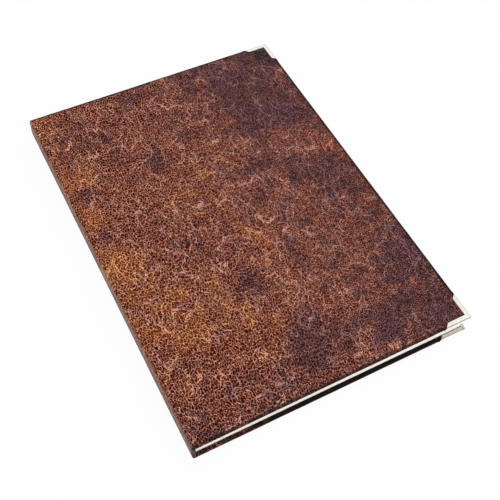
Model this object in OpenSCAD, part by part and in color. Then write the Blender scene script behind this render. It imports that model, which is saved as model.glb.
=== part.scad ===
// A case-bound notebook, closed and lying on its back cover. The origin is the middle of the back
// cover's underside. +X runs from the spine to the fore-edge, +Y from tail to head, +Z up through
// the pages. The front cover rests on the fanned pages, so it rises a little towards the fore-edge.

/* [Pages] */
// Width of a page, from spine to fore-edge
page_w = 207; // [140:1:260]
// Height of a page, from tail to head
page_h = 297; // [200:1:340]
// Thickness of the closed pages at the spine
block_t = 11.3; // [7:0.1:30]
// How much thicker the fanned pages are at the fore-edge
fan_rise = 1.5; // [0:0.1:3]
// Thickness of an endpaper sheet
endpaper_t = 0.2; // [0.1:0.05:0.4]
// Thickness of the cloth lining glued down the spine of the pages
lining_t = 0.3; // [0.2:0.05:0.6]
// Air between the pages and the front cover that rests on them
cover_gap = 0.1; // [0.05:0.05:0.5]
// How far the cloth lining stops short of the pages at head and tail
lining_inset = 6; // [0:1:20]

/* [Case] */
// Thickness of the board in each cover
board_t = 1.5; // [1.3:0.1:3]
// Thickness of the board in the spine
spine_board_t = 1.5; // [1:0.1:3]
// Thickness of the faux leather
leather_t = 0.5; // [0.4:0.05:0.8]
// How far the covers stand out past the pages at head, tail and fore-edge
overhang = 3; // [2:0.1:6]
// Width of the leather turned in over the inner face of the boards
turn_in = 15; // [8:1:25]
// Gap left between the mitred ends of the turned-in leather
turn_in_gap = 0.2; // [0.1:0.05:0.5]
// Radius of the leather where it wraps the edge of a cover
edge_round = 0.9; // [0.85:0.05:1.1]
// Play between the spine's turned-in leather and the cloth lining
spine_play = 0.2; // [0.1:0.05:0.5]

/* [Metal corners] */
// Length of a metal corner along each edge of the cover
corner_arm = 21; // [12:0.5:40]
// Width of a metal corner on the outer face of the cover
corner_flange = 3.3; // [2:0.1:6]
// Thickness of the metal sheet
corner_sheet_t = 0.3; // [0.15:0.05:0.35]
// Clearance between a metal corner and the endpaper inside the cover
corner_clearance = 0.4; // [0.2:0.1:1]
// Width of the open seam where the two inner flanges of a metal corner meet
corner_seam = 0.3; // [0.2:0.05:0.6]

/* [Hidden] */
$fn = 48;

LEATHER = "#7d4b39";
BOARD = "#8f8a80";
PAPER = "#f6f3ea";
CLOTH = "#e9e4d6";
METAL = "#d9d9db";

// Enough to carry a cut clear through a face
through = 1;

// Thicknesses of the wrapped boards, and of a cover with its endpaper and flyleaf
cover_t = board_t + 2 * leather_t;
spine_t = spine_board_t + 2 * leather_t;
stack_t = cover_t + 2 * endpaper_t;
total_t = block_t + 2 * stack_t + cover_gap;

// Depth of the pages below the front cover's outer face
page_depth = stack_t + cover_gap;

// Outer size of the case
cover_w = spine_t + spine_play + lining_t + page_w + overhang;
cover_h = page_h + 2 * overhang;

// Places along X: the spine's outer face, the joint where the cover boards begin, the two ends of
// the pages and the fore-edge of the covers
spine_x = -cover_w / 2;
joint_x = spine_x + spine_t;
page_x0 = joint_x + spine_play + lining_t;
page_x1 = page_x0 + page_w;
fore_x = cover_w / 2;

// The front cover is turned about the spine's upper edge by the angle of the fanned pages
fan_angle = atan(fan_rise / page_w);

// Radii that follow the wrapped edge, each one layer further in
board_round = edge_round - leather_t;
corner_round = edge_round - corner_sheet_t;
corner_inner_flange = overhang - corner_clearance;

// Height, at x, of the plane that lies a given depth below the front cover's outer face
function lid_z(x, depth) = total_t + (x - spine_x) * tan(fan_angle) - depth / cos(fan_angle);

// Extrudes an X-Z profile along Y, centred
module along_y(length) {
  translate([0, length / 2, 0])
    rotate([90, 0, 0])
      linear_extrude(length)
        children();
}

// Extrudes a Y-Z profile along X, from x0
module along_x(x0, length) {
  translate([x0, 0, 0])
    rotate([90, 0, 90])
      linear_extrude(length)
        children();
}

// A bar from 0 to length whose far end has both corners rounded
module rounded_end(length, thick, radius) {
  square([length - radius, thick]);
  translate([0, radius])
    square([length, thick - 2 * radius]);
  for (z = [radius, thick - radius])
    translate([length - radius, z])
      circle(radius);
}

// A bar with both ends rounded, centred on its length
module rounded_bar(length, thick, radius) {
  for (side = [0, 1])
    mirror([side, 0])
      rounded_end(length / 2, thick, radius);
}

// A flat slab from x0 to x1, rounded at the fore-edge, head and tail, and square at the joint
module slab(x0, x1, height, thick, radius) {
  intersection() {
    along_y(height)
      translate([x0, 0])
        rounded_end(x1 - x0, thick, radius);
    along_x(x0, x1 - x0)
      rounded_bar(height, thick, radius);
  }
}

// The back cover's pieces are drawn where they lie. The front cover has the same pieces, turned
// over and laid on the fanned pages.
module front_place() {
  translate([spine_x, 0, total_t])
    rotate([0, -fan_angle, 0])
      translate([-spine_x, 0, 0])
        mirror([0, 0, 1])
          children();
}

module cover_board() {
  color(BOARD)
    translate([0, 0, leather_t])
      slab(joint_x, fore_x - leather_t, cover_h - 2 * leather_t, board_t, board_round);
}

// The bare board inside the frame of turned-in leather, as a block of the given size
module window(inset, z0, z1) {
  translate([joint_x - through, -cover_h / 2 + turn_in + inset, z0])
    cube([
      fore_x - turn_in - inset - joint_x + through,
      cover_h - 2 * (turn_in + inset),
      z1 - z0
    ]);
}

// The slit between the mitred turn-ins at the tail end of the fore-edge
module turn_in_slit() {
  translate([fore_x - leather_t, -cover_h / 2 + leather_t, leather_t + board_t])
    rotate([0, 0, 135])
      translate([0, -turn_in_gap / 2, 0])
        cube([turn_in * sqrt(2), turn_in_gap, leather_t + through]);
}

// One sheet of faux leather round a cover board, with the metal corners pressed into it
module cover_leather() {
  color(LEATHER)
    difference() {
      slab(joint_x, fore_x, cover_h, cover_t, edge_round);
      cover_board();
      window(0, leather_t + board_t, cover_t + through);
      for (side = [0, 1])
        mirror([0, side, 0]) {
          turn_in_slit();
          corner_arms(through)
            corner_outside();
        }
    }
}

// The endpaper steps down from the turned-in leather to the bare board
module cover_endpaper() {
  color(PAPER)
    difference() {
      intersection() {
        union() {
          translate([page_x0, -page_h / 2, cover_t])
            cube([page_w, page_h, endpaper_t]);
          window(0, leather_t + board_t, cover_t + endpaper_t);
        }
        translate([page_x0, -page_h / 2, 0])
          cube([page_w, page_h, stack_t]);
      }
      window(endpaper_t, leather_t + board_t + endpaper_t, stack_t);
    }
}

// Everything outside the inner surface of a metal corner, seen along one arm. The far end is the
// cover's edge, and the inner flange is narrower than the outer one.
module corner_outside() {
  difference() {
    translate([0, -through])
      square([corner_flange + through, cover_t + 2 * through]);
    translate([-through, corner_sheet_t])
      rounded_end(
        corner_flange - corner_sheet_t + through,
        cover_t - 2 * corner_sheet_t,
        corner_round
      );
    translate([-through, cover_t / 2])
      square([corner_flange - corner_inner_flange + through, cover_t]);
  }
}

// Section of a metal corner: the outer flange, the wall round the edge and the inner flange
module corner_section() {
  intersection() {
    corner_outside();
    rounded_end(corner_flange, cover_t, edge_round);
  }
}

// Runs a section along one arm, along +X from the corner at the origin. The free end and the mitre
// are both cut at 45 degrees, and margin carries the cut out past the cover's edges.
module corner_half(margin) {
  intersection() {
    translate([-margin, corner_flange, 0])
      rotate([90, 0, 90])
        mirror([1, 0, 0])
          linear_extrude(corner_arm + 2 * margin)
            children();
    translate([0, 0, -margin])
      linear_extrude(cover_t + 2 * margin)
        polygon([
          [-margin, -margin],
          [corner_arm + margin, -margin],
          [corner_arm - corner_flange, corner_flange],
          [corner_flange, corner_flange]
        ]);
  }
}

// Both arms of a corner, at the tail end of the fore-edge
module corner_arms(margin) {
  translate([fore_x, -cover_h / 2, 0])
    mirror([1, 0, 0])
      for (arm = [0, 1])
        mirror([arm, -arm, 0])
          corner_half(margin)
            children();
}

module cover_corner() {
  color(METAL)
    difference() {
      corner_arms(0)
        corner_section();
      translate([fore_x, -cover_h / 2, cover_t - edge_round])
        rotate([0, 0, 135])
          translate([0, -corner_seam / 2, 0])
            cube([2 * corner_flange, corner_seam, edge_round + through]);
    }
}

module back_board() {
  cover_board();
}

module back_leather() {
  cover_leather();
}

module back_endpaper() {
  cover_endpaper();
}

module back_tail_corner() {
  cover_corner();
}

module back_head_corner() {
  mirror([0, 1, 0])
    cover_corner();
}

module front_board() {
  front_place()
    cover_board();
}

module front_leather() {
  front_place()
    cover_leather();
}

module front_endpaper() {
  front_place()
    cover_endpaper();
}

module front_tail_corner() {
  front_place()
    cover_corner();
}

module front_head_corner() {
  front_place()
    mirror([0, 1, 0])
      cover_corner();
}

// A layer of the pages between z0 and a depth below the front cover, or between two such depths
module page_layer(height, low, high) {
  along_y(height)
    polygon([low[0], low[1], high[1], high[0]]);
}

// The left and right ends of the plane at a depth below the front cover
function lid_line(x0, x1, depth) = [[x0, lid_z(x0, depth)], [x1, lid_z(x1, depth)]];

// The left and right ends of a level plane
function level_line(x0, x1, z) = [[x0, z], [x1, z]];

module page_block() {
  color(PAPER)
    page_layer(
      page_h,
      level_line(page_x0, page_x1, stack_t),
      lid_line(page_x0, page_x1, page_depth)
    );
}

module back_flyleaf() {
  color(PAPER)
    page_layer(
      page_h,
      level_line(page_x0, page_x1, stack_t - endpaper_t),
      level_line(page_x0, page_x1, stack_t)
    );
}

module front_flyleaf() {
  color(PAPER)
    page_layer(
      page_h,
      lid_line(page_x0, page_x1, page_depth),
      lid_line(page_x0, page_x1, page_depth - endpaper_t)
    );
}

module spine_lining() {
  color(CLOTH)
    page_layer(
      page_h - 2 * lining_inset,
      level_line(page_x0 - lining_t, page_x0, stack_t),
      lid_line(page_x0 - lining_t, page_x0, page_depth)
    );
}

module spine_board() {
  color(BOARD)
    translate([spine_x + leather_t, -cover_h / 2 + leather_t, spine_t])
      cube([spine_board_t, cover_h - 2 * leather_t, total_t - 2 * spine_t]);
}

// Section of the spine, with its two outer edges rounded to the spine's own thickness
module spine_outline() {
  translate([spine_x, spine_t])
    square([spine_t, total_t - 2 * spine_t]);
  for (z = [spine_t, total_t - spine_t])
    intersection() {
      translate([joint_x, z])
        circle(spine_t);
      translate([spine_x, z < total_t / 2 ? 0 : z])
        square(spine_t);
    }
}

// The hollow behind the leather at the two joints, up to a number of layers of leather
module joint_hollow(layers) {
  for (z = [spine_t, total_t - spine_t])
    translate([joint_x, z])
      circle(spine_t - layers * leather_t);
}

// The leather of the spine, turned in at head and tail over the ends of the spine board
module spine_leather() {
  color(LEATHER)
    difference() {
      intersection() {
        along_y(cover_h)
          spine_outline();
        along_x(spine_x, spine_t)
          rounded_bar(cover_h, total_t, edge_round);
        linear_extrude(total_t)
          translate([joint_x, 0])
            rotate(90)
              rounded_bar(cover_h, spine_t, edge_round);
      }
      along_y(cover_h - 2 * turn_in) {
        joint_hollow(1);
        translate([spine_x + leather_t, spine_t])
          square([spine_t, total_t - 2 * spine_t]);
      }
      along_y(cover_h + through)
        joint_hollow(2);
      spine_board();
    }
}

back_board();
back_leather();
back_endpaper();
back_head_corner();
back_tail_corner();
page_block();
back_flyleaf();
front_flyleaf();
spine_lining();
spine_board();
spine_leather();
front_board();
front_leather();
front_endpaper();
front_head_corner();
front_tail_corner();
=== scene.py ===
"""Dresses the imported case-bound notebook: antiqued faux leather, polished metal corners and paper."""
import logging
import math
from dataclasses import dataclass, field
from enum import Enum

import bmesh
import bpy
import numpy as np
from mathutils import Matrix, Vector, noise


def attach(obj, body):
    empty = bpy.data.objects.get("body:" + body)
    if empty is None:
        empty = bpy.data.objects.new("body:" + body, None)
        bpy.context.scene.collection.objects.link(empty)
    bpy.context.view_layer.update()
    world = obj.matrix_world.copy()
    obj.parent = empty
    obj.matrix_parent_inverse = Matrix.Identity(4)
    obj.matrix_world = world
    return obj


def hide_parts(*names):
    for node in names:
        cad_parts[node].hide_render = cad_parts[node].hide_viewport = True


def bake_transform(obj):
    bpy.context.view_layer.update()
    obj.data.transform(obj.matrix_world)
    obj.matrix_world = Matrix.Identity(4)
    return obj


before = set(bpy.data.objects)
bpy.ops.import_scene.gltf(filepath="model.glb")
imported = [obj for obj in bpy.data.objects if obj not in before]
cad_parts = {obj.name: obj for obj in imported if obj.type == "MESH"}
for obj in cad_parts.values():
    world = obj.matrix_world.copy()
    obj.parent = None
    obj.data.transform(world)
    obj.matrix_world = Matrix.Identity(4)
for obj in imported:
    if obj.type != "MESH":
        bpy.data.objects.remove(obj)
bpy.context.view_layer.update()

MM = 0.001
WELD = 1e-7
WHITE = (1.0, 1.0, 1.0, 1.0)
MIDDLE = (0.5, 0.5, 0.5)

Tint = tuple[int, int, int]
Colour = tuple[float, float, float, float]

log = logging.getLogger("notebook")


def smooth_step(low: float, high: float, value: np.ndarray) -> np.ndarray:
    """Ease from 0 at low to 1 at high."""
    share = np.clip((value - low) / (high - low), 0.0, 1.0)
    return share * share * (3.0 - 2.0 * share)


def from_srgb(red: int, green: int, blue: int) -> Colour:
    """Turn a colour as seen on a screen into Blender's linear colour.

    Args:
        red: Red, from 0 to 255.
        green: Green, from 0 to 255.
        blue: Blue, from 0 to 255.

    Returns:
        The linear colour with full alpha.
    """
    parts = [channel / 255.0 for channel in (red, green, blue)]
    linear = [
        part / 12.92 if part <= 0.04045 else ((part + 0.055) / 1.055) ** 2.4 for part in parts
    ]
    return (linear[0], linear[1], linear[2], 1.0)


class CoverSide(Enum):
    """The two covers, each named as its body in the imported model."""

    BACK = "back_cover"
    FRONT = "front_cover"


class Slot(Enum):
    """The record's material slots."""

    LEATHER = "faux_leather"
    METAL = "corner_metal"
    PAGES = "pages"
    ENDPAPER = "endpaper"
    LINING = "lining_cloth"
    BOARD = "board"


@dataclass(frozen=True)
class NotebookSizes:
    """Sizes in millimetres, the same as in the part's source."""

    page_w: float = 207.0
    page_h: float = 297.0
    block_t: float = 11.3
    fan_rise: float = 1.5
    endpaper_t: float = 0.2
    lining_t: float = 0.3
    cover_gap: float = 0.1
    board_t: float = 1.5
    leather_t: float = 0.5
    overhang: float = 3.0
    turn_in: float = 15.0
    turn_in_gap: float = 0.2
    edge_round: float = 0.9
    spine_play: float = 0.2
    corner_arm: float = 21.0
    corner_flange: float = 3.3
    corner_inner_flange: float = 2.6
    corner_sheet_t: float = 0.3
    corner_seam: float = 0.3

    @property
    def cover_t(self) -> float:
        """Thickness of a cover with its leather."""
        return self.board_t + 2 * self.leather_t

    @property
    def stack_t(self) -> float:
        """Thickness of a cover with its endpaper and flyleaf."""
        return self.cover_t + 2 * self.endpaper_t

    @property
    def page_depth(self) -> float:
        """Depth of the pages below the front cover's outer face."""
        return self.stack_t + self.cover_gap

    @property
    def total_t(self) -> float:
        """Thickness of the closed notebook at the spine."""
        return self.block_t + 2 * self.stack_t + self.cover_gap

    @property
    def cover_w(self) -> float:
        """Width of the case from spine to fore-edge."""
        return self.cover_t + self.spine_play + self.lining_t + self.page_w + self.overhang

    @property
    def half_h(self) -> float:
        """Half of the height of the case."""
        return self.page_h / 2 + self.overhang

    @property
    def spine_x(self) -> float:
        """Place of the spine's outer face."""
        return -self.cover_w / 2

    @property
    def fore_x(self) -> float:
        """Place of the fore-edge of the covers."""
        return self.cover_w / 2

    @property
    def joint_x(self) -> float:
        """Place where the cover boards begin."""
        return self.spine_x + self.cover_t

    @property
    def page_x0(self) -> float:
        """Place of the pages' spine edge."""
        return self.joint_x + self.spine_play + self.lining_t

    @property
    def page_x1(self) -> float:
        """Place of the pages' fore-edge."""
        return self.page_x0 + self.page_w

    @property
    def fan_angle(self) -> float:
        """Angle in radians by which the front cover rises towards the fore-edge."""
        return math.atan(self.fan_rise / self.page_w)

    def lid_z(self, x: np.ndarray, depth: float) -> np.ndarray:
        """Height of the plane that lies a depth below the front cover's outer face."""
        rise = (x - self.spine_x) * math.tan(self.fan_angle)
        return self.total_t + rise - depth / math.cos(self.fan_angle)


@dataclass(frozen=True)
class CoverPlace:
    """Carries points drawn on the back cover to the cover that they are meant for."""

    sizes: NotebookSizes
    side: CoverSide

    def lay(self, points: np.ndarray, turn: np.ndarray | float = 1.0) -> np.ndarray:
        """Move points to their cover.

        Args:
            points: Points in millimetres, one a row.
            turn: Share of the front cover's slope that each point takes.

        Returns:
            The moved points.
        """
        if self.side is CoverSide.BACK:
            return points
        s = self.sizes
        angle = s.fan_angle * turn
        x = points[:, 0] - s.spine_x
        z = -points[:, 2]
        return np.stack([
            s.spine_x + x * np.cos(angle) - z * np.sin(angle),
            points[:, 1],
            s.total_t + x * np.sin(angle) + z * np.cos(angle),
        ], axis=1)


class Draft:
    """Collects patches of points and faces, in millimetres, and turns them into one object."""

    def __init__(self) -> None:
        """Start with nothing drawn."""
        self.points: list[np.ndarray] = []
        self.faces: list[tuple[int, ...]] = []
        self.cuts: list[np.ndarray] = []
        self.count = 0

    def add_patch(self, points: np.ndarray, cuts: np.ndarray, flip: bool) -> None:
        """Add a grid of points and the faces between them.

        Args:
            points: Array of rows by columns by 3, in millimetres.
            cuts: Place of each point on the flat sheet, in the same layout.
            flip: Whether the faces look the other way.
        """
        rows, columns = points.shape[:2]
        index = self.count + np.arange(rows * columns).reshape(rows, columns)
        quads = np.stack(
            [index[:-1, :-1], index[1:, :-1], index[1:, 1:], index[:-1, 1:]], axis=-1
        ).reshape(-1, 4)
        if flip:
            quads = quads[:, ::-1]
        self.points.append(points.reshape(-1, 3))
        self.cuts.append(cuts.reshape(-1, 3))
        self.faces.extend(tuple(int(corner) for corner in quad) for quad in quads)
        self.count += rows * columns

    def make_object(self, name: str) -> bpy.types.Object:
        """Weld the patches into one mesh object in metres.

        Args:
            name: Name of the piece.

        Returns:
            The new object, with each point's flat place in its attribute "cut".
        """
        points = np.concatenate(self.points) * MM
        cuts = np.concatenate(self.cuts) * MM
        mesh = bpy.data.meshes.new(name)
        mesh.from_pydata(points.tolist(), [], self.faces)
        attribute = mesh.attributes.new("cut", "FLOAT_VECTOR", "POINT")
        attribute.data.foreach_set("vector", cuts.astype(np.float32).ravel())
        weld(mesh)
        return link_piece(name, mesh)


def weld(mesh: bpy.types.Mesh) -> None:
    """Merge points that lie on each other and drop faces without area.

    Args:
        mesh: Mesh to clean.
    """
    work = bmesh.new()
    work.from_mesh(mesh)
    bmesh.ops.remove_doubles(work, verts=work.verts, dist=WELD)
    bmesh.ops.dissolve_degenerate(work, edges=work.edges, dist=WELD)
    work.to_mesh(mesh)
    work.free()


def link_piece(name: str, mesh: bpy.types.Mesh) -> bpy.types.Object:
    """Put a mesh into the scene as an object.

    Args:
        name: Name of the piece.
        mesh: Its mesh.

    Returns:
        The new object.
    """
    piece = bpy.data.objects.new(name, mesh)
    bpy.context.scene.collection.objects.link(piece)
    return piece


def apply_modifiers(piece: bpy.types.Object) -> None:
    """Put the result of a piece's modifiers into its mesh and remove them.

    Args:
        piece: Piece to finish.
    """
    graph = bpy.context.evaluated_depsgraph_get()
    graph.update()
    done = bpy.data.meshes.new_from_object(
        piece.evaluated_get(graph), preserve_all_data_layers=True, depsgraph=graph
    )
    piece.modifiers.clear()
    old = piece.data
    piece.data = done
    done.name = piece.name
    bpy.data.meshes.remove(old)


def shade(piece: bpy.types.Object, sharp_degrees: float) -> None:
    """Shade a piece smooth, apart from folds sharper than an angle.

    Args:
        piece: Piece to shade.
        sharp_degrees: Smallest angle that stays a sharp edge.
    """
    mesh = piece.data
    mesh.polygons.foreach_set("use_smooth", [True] * len(mesh.polygons))
    mesh.set_sharp_from_angle(angle=math.radians(sharp_degrees))


def add_thickness(piece: bpy.types.Object, thickness: float) -> None:
    """Add the modifier that gives a sheet its thickness, on the side away from its faces.

    Args:
        piece: Piece whose mesh is an open sheet.
        thickness: Thickness in millimetres.
    """
    solid = piece.modifiers.new("thickness", "SOLIDIFY")
    solid.thickness = thickness * MM
    solid.offset = -1.0
    solid.use_even_offset = False


def thicken(piece: bpy.types.Object, thickness: float) -> None:
    """Give a sheet its thickness and keep the result."""
    add_thickness(piece, thickness)
    apply_modifiers(piece)


def graded(stops: list[tuple[float, float]]) -> np.ndarray:
    """Stations along a line, each stretch with a spacing of its own.

    Args:
        stops: Pairs of a place and the spacing from there to the next place.

    Returns:
        The stations, in order.
    """
    parts = []
    for (start, spacing), (end, _) in zip(stops, stops[1:]):
        steps = max(1, round(abs(end - start) / spacing))
        parts.append(np.linspace(start, end, steps + 1)[:-1])
    parts.append(np.array([stops[-1][0]]))
    return np.concatenate(parts)


class Graph:
    """A short way to write shader nodes."""

    def __init__(self, tree: bpy.types.NodeTree) -> None:
        """Start with an empty node tree."""
        self.tree = tree
        self.tree.nodes.clear()

    def node(self, kind: str, **settings: object) -> bpy.types.Node:
        """Add a node.

        Args:
            kind: Blender's name of the node type, without its ShaderNode prefix.
            settings: Properties to set on it.

        Returns:
            The node.
        """
        made = self.tree.nodes.new("ShaderNode" + kind)
        for key, value in settings.items():
            setattr(made, key, value)
        return made

    def feed(self, target: bpy.types.NodeSocket, value: object) -> None:
        """Set an input socket, or link it where the value is an output socket.

        Args:
            target: Input socket.
            value: Output socket, number, vector or colour.
        """
        if isinstance(value, bpy.types.NodeSocket):
            self.tree.links.new(value, target)
        else:
            target.default_value = value

    def math(self, operation: str, first: object, second: object = 0.0) -> bpy.types.NodeSocket:
        """Add a Math node.

        Args:
            operation: Its operation.
            first: First value or socket.
            second: Second value or socket.

        Returns:
            Its output.
        """
        made = self.node("Math", operation=operation)
        self.feed(made.inputs[0], first)
        self.feed(made.inputs[1], second)
        return made.outputs[0]

    def vector(self, operation: str, first: object, second: object) -> bpy.types.NodeSocket:
        """Add a Vector Math node.

        Args:
            operation: Its operation.
            first: First vector or socket.
            second: Second vector or socket, or the scale's socket or number for SCALE.

        Returns:
            Its vector output.
        """
        made = self.node("VectorMath", operation=operation)
        self.feed(made.inputs[0], first)
        self.feed(made.inputs["Scale" if operation == "SCALE" else 1], second)
        return made.outputs[0]

    def noise(
        self, place: object, scale: float, detail: float = 2.0, roughness: float = 0.5
    ) -> bpy.types.Node:
        """Add a noise texture.

        Args:
            place: Coordinate socket.
            scale: Number of features per unit of the coordinate.
            detail: Octaves of finer noise.
            roughness: Weight of the finer octaves.

        Returns:
            The node.
        """
        made = self.node("TexNoise", noise_dimensions="3D")
        self.feed(made.inputs["Vector"], place)
        self.feed(made.inputs["Scale"], scale)
        self.feed(made.inputs["Detail"], detail)
        self.feed(made.inputs["Roughness"], roughness)
        return made

    def cloud(
        self, place: object, scale: float, detail: float = 2.0, roughness: float = 0.5
    ) -> bpy.types.NodeSocket:
        """The value of a noise texture."""
        return self.noise(place, scale, detail, roughness).outputs["Fac"]

    def sway(
        self, place: object, scale: float, reach: float, detail: float = 2.0, roughness: float = 0.5
    ) -> bpy.types.NodeSocket:
        """A vector that wanders about zero."""
        wander = self.noise(place, scale, detail, roughness).outputs["Color"]
        return self.vector("SCALE", self.vector("SUBTRACT", wander, MIDDLE), reach)

    def centred(self, value: object, gain: object) -> bpy.types.NodeSocket:
        """Move a value's middle from 0.5 to 0 and multiply it."""
        return self.math("MULTIPLY", self.math("SUBTRACT", value, 0.5), gain)

    def axis(self, place: object, name: str) -> bpy.types.NodeSocket:
        """One coordinate of a place.

        Args:
            place: Coordinate socket.
            name: X, Y or Z.

        Returns:
            The coordinate.
        """
        made = self.node("SeparateXYZ")
        self.feed(made.inputs[0], place)
        return made.outputs[name]

    def flat_place(self) -> bpy.types.NodeSocket:
        """Place on the flat sheet that a piece was cut from, in millimetres."""
        cut = self.node("Attribute", attribute_name="cut").outputs["Vector"]
        return self.vector("SCALE", cut, 1.0 / MM)

    def own_place(self) -> bpy.types.NodeSocket:
        """Place in the object's own coordinates, in metres."""
        return self.node("TexCoord").outputs["Object"]

    def cell_edges(self, place: object, scale: float) -> bpy.types.NodeSocket:
        """Distance to the nearest edge of a net of cells.

        Args:
            place: Coordinate socket.
            scale: Number of cells per unit of the coordinate.

        Returns:
            The distance, 0 on the edges.
        """
        made = self.node("TexVoronoi", voronoi_dimensions="2D", feature="DISTANCE_TO_EDGE")
        self.feed(made.inputs["Vector"], place)
        self.feed(made.inputs["Scale"], scale)
        return made.outputs["Distance"]

    def background(self, strength: object) -> bpy.types.NodeSocket:
        """A white background.

        Args:
            strength: Its strength.

        Returns:
            Its shader socket.
        """
        made = self.node("Background")
        self.feed(made.inputs["Color"], WHITE)
        self.feed(made.inputs["Strength"], strength)
        return made.outputs["Background"]

    def mix_shaders(self, share: object, first: object, second: object) -> bpy.types.NodeSocket:
        """Mix two shaders.

        Args:
            share: Share of the second shader.
            first: First shader socket.
            second: Second shader socket.

        Returns:
            The mixed shader socket.
        """
        made = self.node("MixShader")
        for key, value in enumerate((share, first, second)):
            self.feed(made.inputs[key], value)
        return made.outputs["Shader"]

    def span(
        self, value: object, low: float, high: float, to_low: float = 0.0, to_high: float = 1.0
    ) -> bpy.types.NodeSocket:
        """Ease a value from one range into another.

        Args:
            value: Value socket.
            low: Start of the range.
            high: End of the range.
            to_low: Result at its start.
            to_high: Result at its end.

        Returns:
            The eased value.
        """
        made = self.node("MapRange", interpolation_type="SMOOTHSTEP")
        for key, number in enumerate((value, low, high, to_low, to_high)):
            self.feed(made.inputs[key], number)
        return made.outputs["Result"]

    def mix(
        self, share: object, first: object, second: object, blend: str = "MIX"
    ) -> bpy.types.NodeSocket:
        """Mix two colours.

        Args:
            share: Share of the second colour.
            first: First colour or socket.
            second: Second colour or socket.
            blend: Way of mixing.

        Returns:
            The mixed colour.
        """
        made = self.node("Mix", data_type="RGBA", blend_type=blend, clamp_factor=True)
        self.feed(made.inputs[0], share)
        self.feed(made.inputs[6], first)
        self.feed(made.inputs[7], second)
        return made.outputs[2]

    def mix_value(self, share: object, first: object, second: object) -> bpy.types.NodeSocket:
        """Mix two values.

        Args:
            share: Share of the second value.
            first: First value.
            second: Second value.

        Returns:
            The mixed value socket.
        """
        made = self.node("Mix", data_type="FLOAT")
        self.feed(made.inputs[0], share)
        self.feed(made.inputs[2], first)
        self.feed(made.inputs[3], second)
        return made.outputs[0]

    def ramp(self, value: object, stops: list[tuple[float, Colour]]) -> bpy.types.NodeSocket:
        """Turn a value into a colour through a ramp.

        Args:
            value: Value socket.
            stops: Places and colours.

        Returns:
            The colour.
        """
        made = self.node("ValToRGB")
        self.feed(made.inputs[0], value)
        elements = made.color_ramp.elements
        while len(elements) < len(stops):
            elements.new(1.0)
        for element, (place, colour) in zip(elements, stops):
            element.position = place
            element.color = colour
        return made.outputs["Color"]


class MaterialGraph(Graph):
    """The nodes of one material, round a principled shader."""

    def __init__(self, name: str) -> None:
        """Make a material whose node tree has only a principled shader and the output.

        Args:
            name: Name of the material.
        """
        self.material = bpy.data.materials.new(name)
        self.material.use_nodes = True
        super().__init__(self.material.node_tree)
        self.output = self.node("OutputMaterial")
        self.shader = self.node("BsdfPrincipled")
        self.feed(self.output.inputs["Surface"], self.shader.outputs["BSDF"])

    def bump(self, height: object, distance: float, strength: float = 1.0) -> None:
        """Join a height to the shader's normal.

        Args:
            height: Height socket, from 0 to 1.
            distance: Height in metres that 1 stands for.
            strength: Strength of the effect.
        """
        made = self.node("Bump")
        self.feed(made.inputs["Height"], height)
        self.feed(made.inputs["Distance"], distance)
        self.feed(made.inputs["Strength"], strength)
        self.feed(self.shader.inputs["Normal"], made.outputs["Normal"])


@dataclass(frozen=True)
class ColourPatch:
    """A soft patch of darker or warmer dye, in millimetres on the front cover."""

    x: float
    y: float
    radius: float
    tone: float


# Patches that show warm where the antique dye was wiped thin, and dark where it gathered; the first
# dark patch is far stronger and only makes the head corner at the fore-edge much darker
WIPED_THIN = (
    ColourPatch(-99.0, 38.0, 16.0, 0.18),
    ColourPatch(-102.0, 140.0, 14.0, 0.16),
    ColourPatch(-92.0, 80.0, 12.0, 0.24),
    ColourPatch(-97.0, -5.0, 16.0, 0.38),
    ColourPatch(-42.0, 100.0, 13.0, 0.10),
    ColourPatch(3.0, -30.0, 15.0, 0.32),
    ColourPatch(-70.0, -65.0, 28.0, 0.24),
    ColourPatch(13.0, -75.0, 18.0, 0.12),
    ColourPatch(-20.0, 40.0, 25.0, 0.16),
    ColourPatch(93.0, 30.0, 11.0, 0.22),
    ColourPatch(68.0, 50.0, 9.0, 0.18),
    ColourPatch(45.0, 0.0, 12.0, 0.16),
    ColourPatch(20.0, 60.0, 14.0, 0.14),
    ColourPatch(-30.0, -100.0, 22.0, 0.16),
    ColourPatch(0.0, 133.0, 14.0, 0.04),
    ColourPatch(70.0, -80.0, 12.0, 0.12),
)
GATHERED = (
    ColourPatch(106.0, 150.0, 19.0, -1.60),
    ColourPatch(-80.0, 118.0, 22.0, -0.08),
    ColourPatch(-92.0, 60.0, 9.0, -0.36),
    ColourPatch(-34.0, 68.0, 9.0, -0.40),
    ColourPatch(55.0, 90.0, 22.0, -0.32),
    ColourPatch(90.0, 75.0, 20.0, -0.32),
    ColourPatch(70.0, 125.0, 18.0, -0.26),
    ColourPatch(-94.0, 20.0, 9.0, -0.32),
    ColourPatch(-37.0, -15.0, 15.0, -0.20),
    ColourPatch(-12.0, -32.0, 7.0, -0.34),
    ColourPatch(-20.0, -60.0, 9.0, -0.36),
    ColourPatch(-2.0, -120.0, 18.0, -0.42),
    ColourPatch(58.0, -128.0, 16.0, -0.28),
    ColourPatch(-98.0, -146.0, 19.0, -0.28),
    ColourPatch(-40.0, -145.0, 22.0, -0.20),
    ColourPatch(90.0, -10.0, 22.0, -0.13),
    ColourPatch(95.0, -100.0, 24.0, -0.20),
    ColourPatch(60.0, 15.0, 12.0, -0.18),
    ColourPatch(95.0, -145.0, 18.0, -0.26),
    ColourPatch(-25.0, 142.0, 20.0, -0.18),
    ColourPatch(35.0, 140.0, 22.0, -0.16),
    ColourPatch(-55.0, 104.0, 14.0, -0.12),
    ColourPatch(10.0, 100.0, 16.0, -0.12),
)


@dataclass(frozen=True)
class Dye:
    """A strength of the dye: its tints from pit to ridge, which hold painted shade in the pits and a
    painted highlight on the ridges as well as the dye, and the tones where it starts and is full.
    """

    tints: tuple[Tint, ...]
    start: float
    full: float


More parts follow.
